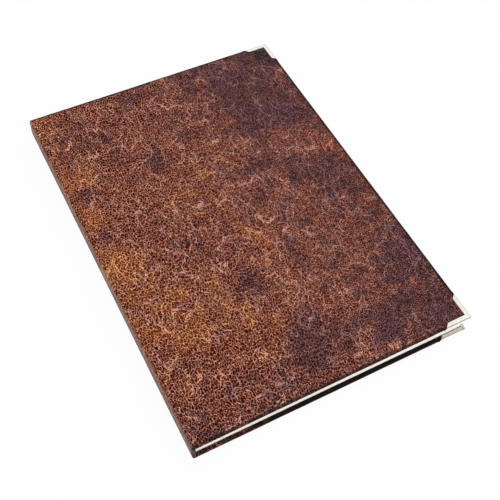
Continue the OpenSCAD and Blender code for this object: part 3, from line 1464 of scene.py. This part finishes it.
@dataclass
class MetalCorner:
    """One folded metal corner: an outer flange, a wall round the edge and mitred inner flanges."""

    sizes: NotebookSizes
    proud: float = 0.15
    plan_round: float = 0.45
    edge_dip: float = 0.10
    arc_steps: int = 7
    bevel: float = 0.07
    bevel_angle: float = 50.0
    smooth_angle: float = 35.0

    def profile(self) -> np.ndarray:
        """Outer line of the folded sheet.

        Returns:
            Distances in from the cover's edge and depths below its outer face, one pair a row.
        """
        s = self.sizes
        radius = s.edge_round + self.proud
        angle = np.linspace(0.0, math.pi / 2, self.arc_steps + 1)
        first = np.stack([
            s.edge_round - radius * np.sin(angle), s.edge_round - radius * np.cos(angle)
        ], axis=1)
        second = np.stack([
            s.edge_round - radius * np.cos(angle),
            s.cover_t - s.edge_round + radius * np.sin(angle),
        ], axis=1)
        flange = np.array([
            [s.corner_flange, self.edge_dip - self.proud],
            [s.corner_flange - 0.5, 0.02 - self.proud],
            [s.corner_flange - 1.1, -self.proud],
        ])
        inner = np.array([
            [s.corner_inner_flange - 0.5, s.cover_t + self.proud],
            [s.corner_inner_flange, s.cover_t + self.proud - self.edge_dip],
        ])
        return np.concatenate([flange, first, second, inner])

    def plan(self, inset: float, gap: float) -> np.ndarray:
        """The line that a point of the profile follows, seen from above, from end to end.

        Args:
            inset: Distance in from the cover's edge.
            gap: Half the width of the open seam at the mitre.

        Returns:
            Distances from the fore-edge and from the tail edge, one pair a row.
        """
        s = self.sizes
        share = np.linspace(0.0, 1.0, 9)
        turn = max(self.plan_round, inset)
        free = s.corner_arm - max(inset, 0.0)
        along = free + (turn + gap - free) * share
        one = np.stack([along, np.full_like(along, inset)], axis=1)
        radius = max(self.plan_round - inset, 0.0)
        angle = np.linspace(0.0, math.pi / 2, 7)[1:-1]
        bend = np.stack([turn - radius * np.sin(angle), turn - radius * np.cos(angle)], axis=1)
        if gap:
            bend = np.empty((0, 2))
        return np.concatenate([one, bend, one[::-1, ::-1]])

    def build(self, name: str, side: CoverSide, end_sign: float) -> bpy.types.Object:
        """Make one corner.

        Args:
            name: Name of the piece.
            side: Cover that it holds.
            end_sign: -1 at the tail and 1 at the head.

        Returns:
            The finished piece.
        """
        s = self.sizes
        place = CoverPlace(s, side)
        rows = []
        profile = self.profile()
        split = len(profile) - 3
        for inset, deep in profile:
            plan = self.plan(float(inset), 0.0)
            rows.append(self.to_points(plan, float(deep), end_sign))
        flip = (side is CoverSide.FRONT) == (end_sign > 0)
        draft = Draft()
        self.add_rows(draft, place, rows[: split + 1], flip)
        half = len(rows[0]) // 2
        for arm in (slice(None, half + 1), slice(half, None)):
            ends = []
            for inset, deep in profile[split:]:
                seam = 0.0 if inset <= s.edge_round else s.corner_seam / 2
                plan = self.plan(float(inset), 0.0)
                shift = np.zeros_like(plan)
                middle = np.abs(np.arange(len(plan)) - half) <= 3
                if inset > s.edge_round:
                    first = middle & (np.arange(len(plan)) <= half)
                    shift[first, 0] = seam
                    shift[middle & ~first, 1] = seam
                    if arm.start:
                        shift[half] = (0.0, seam)
                ends.append(self.to_points(plan + shift, float(deep), end_sign)[arm])
            self.add_rows(draft, place, ends, flip)
        piece = draft.make_object(name)
        self.finish(piece)
        return piece

    def to_points(self, plan: np.ndarray, deep: float, end_sign: float) -> np.ndarray:
        """Turn a plan line into points on the back cover.

        Args:
            plan: Distances from the fore-edge and from the tail or head edge.
            deep: Depth below the outer face.
            end_sign: -1 at the tail and 1 at the head.

        Returns:
            The points in millimetres.
        """
        s = self.sizes
        return np.stack([
            s.fore_x - plan[:, 0],
            end_sign * (s.half_h - plan[:, 1]),
            np.full(len(plan), deep),
        ], axis=1)

    def add_rows(
        self, draft: Draft, place: CoverPlace, rows: list[np.ndarray], flip: bool
    ) -> None:
        """Add rows of points as one patch.

        Args:
            draft: Mesh in the making.
            place: Place of the cover.
            rows: Rows of points with the same number in each.
            flip: Whether the faces look the other way.
        """
        grid = np.stack(rows)
        laid = place.lay(grid.reshape(-1, 3)).reshape(grid.shape)
        draft.add_patch(laid, grid, flip)

    def finish(self, piece: bpy.types.Object) -> None:
        """Give the sheet its thickness and soften its cut edges.

        Args:
            piece: Corner whose mesh is an open sheet.
        """
        add_thickness(piece, self.sizes.corner_sheet_t)
        soft = piece.modifiers.new("soft_edges", "BEVEL")
        soft.width = self.bevel * MM
        soft.segments = 2
        soft.limit_method = "ANGLE"
        soft.angle_limit = math.radians(self.bevel_angle)
        apply_modifiers(piece)
        shade(piece, self.smooth_angle)


@dataclass
class PageBlock:
    """The pages: bundles of sheets whose trimmed edges lie slightly unevenly on each other."""

    sizes: NotebookSizes
    bundles: int = 30
    uneven: float = 0.07
    ripple: float = 0.05
    spacing: float = 2.6
    smooth_angle: float = 25.0

    def outline(self) -> np.ndarray:
        """Walk once round the pages, seen from above.

        Returns:
            Points in millimetres, with the corners among them.
        """
        s = self.sizes
        x0, x1, y = s.page_x0, s.page_x1, s.page_h / 2
        corners = [(x0, -y), (x1, -y), (x1, y), (x0, y), (x0, -y)]
        parts = []
        for start, end in zip(corners, corners[1:]):
            length = math.dist(start, end)
            steps = round(length / self.spacing)
            share = np.linspace(0.0, 1.0, steps + 1)[:-1, None]
            parts.append(np.array(start) + share * (np.array(end) - np.array(start)))
        return np.concatenate(parts)

    def ring(self, outline: np.ndarray, layer: int, height: float) -> np.ndarray:
        """One edge of a bundle.

        Args:
            outline: Points round the pages.
            layer: Number of the bundle.
            height: Share of the block's thickness, from 0 to 1.

        Returns:
            The ring's points.
        """
        s = self.sizes
        x, y = outline[:, 0].copy(), outline[:, 1].copy()
        free = smooth_step(s.page_x0 + 2, s.page_x0 + 40, x)
        trim = self.uneven * noise.noise((layer * 0.93, 4.0, 1.0))
        wave = np.array([
            noise.noise((a / 34.0, b / 34.0, layer * 0.41)) for a, b in outline
        ])
        inward = self.ripple + self.uneven + free * (trim + self.ripple * wave)
        at_end = np.abs(y) > s.page_h / 2 - 0.01
        y = np.where(at_end, y - np.sign(y) * inward * 0.5, y)
        at_fore = x > s.page_x1 - 0.01
        x = np.where(at_fore, x - inward, x)
        low = s.stack_t
        high = s.lid_z(x, s.page_depth)
        return np.stack([x, y, low + (high - low) * height], axis=1)

    def build(self, name: str) -> bpy.types.Object:
        """Make the pages.

        Args:
            name: Name of the piece.

        Returns:
            The finished piece.
        """
        outline = self.outline()
        rings = []
        for layer in range(self.bundles):
            for edge in (0.02, 0.98):
                rings.append(self.ring(outline, layer, (layer + edge) / self.bundles))
        rings[0][:, 2] = self.sizes.stack_t
        rings[-1][:, 2] = self.sizes.lid_z(rings[-1][:, 0], self.sizes.page_depth)
        grid = np.stack(rings)
        grid = np.concatenate([grid, grid[:, :1]], axis=1)
        draft = Draft()
        draft.add_patch(grid, grid, True)
        columns = grid.shape[1]
        last = draft.count - columns
        draft.faces.append(tuple(range(columns - 2, -1, -1)))
        draft.faces.append(tuple(range(last, last + columns - 1)))
        piece = draft.make_object(name)
        shade(piece, self.smooth_angle)
        return piece


@dataclass(frozen=True)
class Lamp:
    """A square soft lamp that looks at the notebook, in metres and watts."""

    name: str
    place: tuple[float, float, float]
    size: float
    power: float


LAMPS = (
    Lamp("key_lamp", (0.6, 0.8, 1.3), 2.0, 15.0),
    Lamp("fill_lamp", (-1.0, -0.6, 1.1), 1.6, 5.0),
    Lamp("page_lamp", (0.35, -1.3, 0.42), 1.1, 9.0),
)


@dataclass
class Studio:
    """The pale floor, the soft light and the camera of the photograph."""

    camera_place: tuple[float, float, float] = (-182.138, -319.084, 503.761)
    forward: tuple[float, float, float] = (0.29893697, 0.48152514, -0.82387513)
    right: tuple[float, float, float] = (0.88533188, -0.46213954, 0.0511323)
    lens: float = 58.98
    sensor: float = 36.0
    floor_grey: Colour = (0.8, 0.8, 0.8, 1.0)
    floor_glow: float = 0.95
    floor_drop: float = 0.0002
    sky: float = 0.55
    wall_from: float = 0.06
    wall_to: float = 0.55
    wall_dim: float = 0.10

    def build(self) -> None:
        """Make the whole studio."""
        self.build_floor()
        self.build_world()
        self.build_lamps()
        self.build_camera()

    def build_floor(self) -> None:
        """Make a wide pale floor that shows white to the camera and keeps a soft shadow."""
        mesh = bpy.data.meshes.new("floor")
        work = bmesh.new()
        bmesh.ops.create_grid(work, x_segments=8, y_segments=8, size=4.0)
        work.to_mesh(mesh)
        work.free()
        floor = link_piece("floor", mesh)
        floor.location.z = -self.floor_drop
        g = MaterialGraph("pale_floor")
        g.feed(g.shader.inputs["Base Color"], self.floor_grey)
        g.feed(g.shader.inputs["Roughness"], 0.9)
        g.feed(g.shader.inputs["Specular IOR Level"], 0.0)
        glow = g.node("Emission")
        g.feed(glow.inputs["Color"], WHITE)
        g.feed(glow.inputs["Strength"], 1.0)
        path = g.node("LightPath")
        seen = g.math("MAXIMUM", path.outputs["Is Camera Ray"], path.outputs["Is Glossy Ray"])
        share = g.math("MULTIPLY", seen, self.floor_glow)
        blend = g.mix_shaders(share, g.shader.outputs["BSDF"], glow.outputs["Emission"])
        g.feed(g.output.inputs["Surface"], blend)
        floor.data.materials.append(g.material)

    def build_world(self) -> None:
        """Light the object evenly from all round, and show the camera plain white."""
        world = bpy.data.worlds.new("studio")
        bpy.context.scene.world = world
        world.use_nodes = True
        g = Graph(world.node_tree)
        upward = g.axis(g.node("TexCoord").outputs["Generated"], "Z")
        mirrored = g.background(g.span(upward, self.wall_from, self.wall_to, self.wall_dim, 1.0))
        path = g.node("LightPath")
        gloss = g.mix_shaders(path.outputs["Is Glossy Ray"], g.background(self.sky), mirrored)
        seen = g.mix_shaders(path.outputs["Is Camera Ray"], gloss, g.background(1.0))
        g.feed(g.node("OutputWorld").inputs["Surface"], seen)

    def build_lamps(self) -> None:
        """Hang two large soft lamps over the notebook and one low in front of its pages."""
        for each in LAMPS:
            data = bpy.data.lights.new(each.name, "AREA")
            data.shape = "SQUARE"
            data.size = each.size
            data.energy = each.power
            lamp = bpy.data.objects.new(each.name, data)
            bpy.context.scene.collection.objects.link(lamp)
            lamp.location = each.place
            lamp.visible_glossy = False
            lamp.rotation_mode = "QUATERNION"
            lamp.rotation_quaternion = (-Vector(each.place)).to_track_quat("-Z", "Y")

    def build_camera(self) -> None:
        """Place the camera as fitted to the photograph's edges."""
        data = bpy.data.cameras.new("camera")
        data.lens = self.lens
        data.sensor_width = self.sensor
        data.clip_start = 0.01
        camera = bpy.data.objects.new("camera", data)
        bpy.context.scene.collection.objects.link(camera)
        forward = Vector(self.forward).normalized()
        right = Vector(self.right).normalized()
        up = -forward.cross(right)
        turned = Matrix((right, up, -forward)).transposed().to_4x4()
        camera.matrix_world = Matrix.Translation(Vector(self.camera_place) * MM) @ turned
        bpy.context.scene.camera = camera
        bpy.context.scene.view_settings.view_transform = "Standard"


@dataclass
class Notebook:
    """The whole notebook, piece by piece."""

    sizes: NotebookSizes
    finishes: Finishes

    def build(self) -> None:
        """Make and dress every piece."""
        self.finishes.build()
        self.build_leather()
        self.build_corners()
        self.build_pages()
        self.dress_frame()

    def settle(self, piece: bpy.types.Object, slot: Slot, *nodes: str) -> None:
        """Dress a piece and hide the CAD nodes that it stands for.

        Args:
            piece: New piece.
            slot: Material slot of the record.
            nodes: CAD nodes that it replaces, or none where it only adds to them.
        """
        self.finishes.dress(piece, slot)
        if nodes:
            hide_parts(*nodes)
        log.info("%s: %d faces", piece.name, len(piece.data.polygons))

    def build_leather(self) -> None:
        """Make the five stretches of the one sheet of leather, and the paper inside the joints."""
        s = self.sizes
        case = CaseLeather(s)
        for side, node in ((CoverSide.BACK, "back_leather"), (CoverSide.FRONT, "front_leather")):
            cover = case.build(side.value + "_leather", SkinPart.COVER, side)
            self.settle(cover, Slot.LEATHER, node)
            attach(cover, side.value)
        spine = case.build("spine_cover_leather", SkinPart.SPINE, CoverSide.BACK)
        self.settle(spine, Slot.LEATHER, "spine_leather")
        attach(spine, "book_block")
        low, high = s.cover_t, s.total_t - s.cover_t
        joints = (
            (CoverSide.BACK, "back_cover", "book_block", (s.joint_x, 0.0), (s.spine_x, low)),
            (CoverSide.FRONT, "book_block", "front_cover", (s.spine_x, high), (s.joint_x, s.total_t)),
        )
        for side, first, second, *ends in joints:
            joint = case.build(side.value + "_joint_leather", SkinPart.JOINT, side)
            self.settle(joint, Slot.LEATHER, "spine_leather")
            paper = JointPaper(s).build(side.value + "_joint_endpaper", side)
            self.settle(paper, Slot.ENDPAPER)
            for piece in (joint, paper):
                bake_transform(piece)

    def build_corners(self) -> None:
        """Make the four metal corners."""
        corner = MetalCorner(self.sizes)
        for side, word in ((CoverSide.BACK, "back"), (CoverSide.FRONT, "front")):
            for end, sign in (("head", 1.0), ("tail", -1.0)):
                node = f"{word}_{end}_corner"
                piece = corner.build(f"{word}_{end}_metal_corner", side, sign)
                self.settle(piece, Slot.METAL, node)
                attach(piece, side.value)

    def build_pages(self) -> None:
        """Make the pages."""
        pages = PageBlock(self.sizes).build("page_sheets")
        self.settle(pages, Slot.PAGES, "page_block")
        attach(pages, "book_block")

    def dress_frame(self) -> None:
        """Give the CAD nodes that stay their finishes."""
        kept = {
            "back_endpaper": Slot.ENDPAPER,
            "front_endpaper": Slot.ENDPAPER,
            "back_flyleaf": Slot.ENDPAPER,
            "front_flyleaf": Slot.ENDPAPER,
            "spine_lining": Slot.LINING,
            "spine_board": Slot.BOARD,
            "back_board": Slot.BOARD,
            "front_board": Slot.BOARD,
        }
        for name, slot in kept.items():
            self.finishes.dress_node(name, slot)
            log.info("%s: dressed as %s", name, slot.value)


def main() -> None:
    """Build the notebook and its studio."""
    logging.basicConfig(level=logging.INFO, format="%(name)s: %(message)s")
    Notebook(NotebookSizes(), Finishes(LeatherFinish())).build()
    Studio().build()


if __name__ == "__main__":
    main()
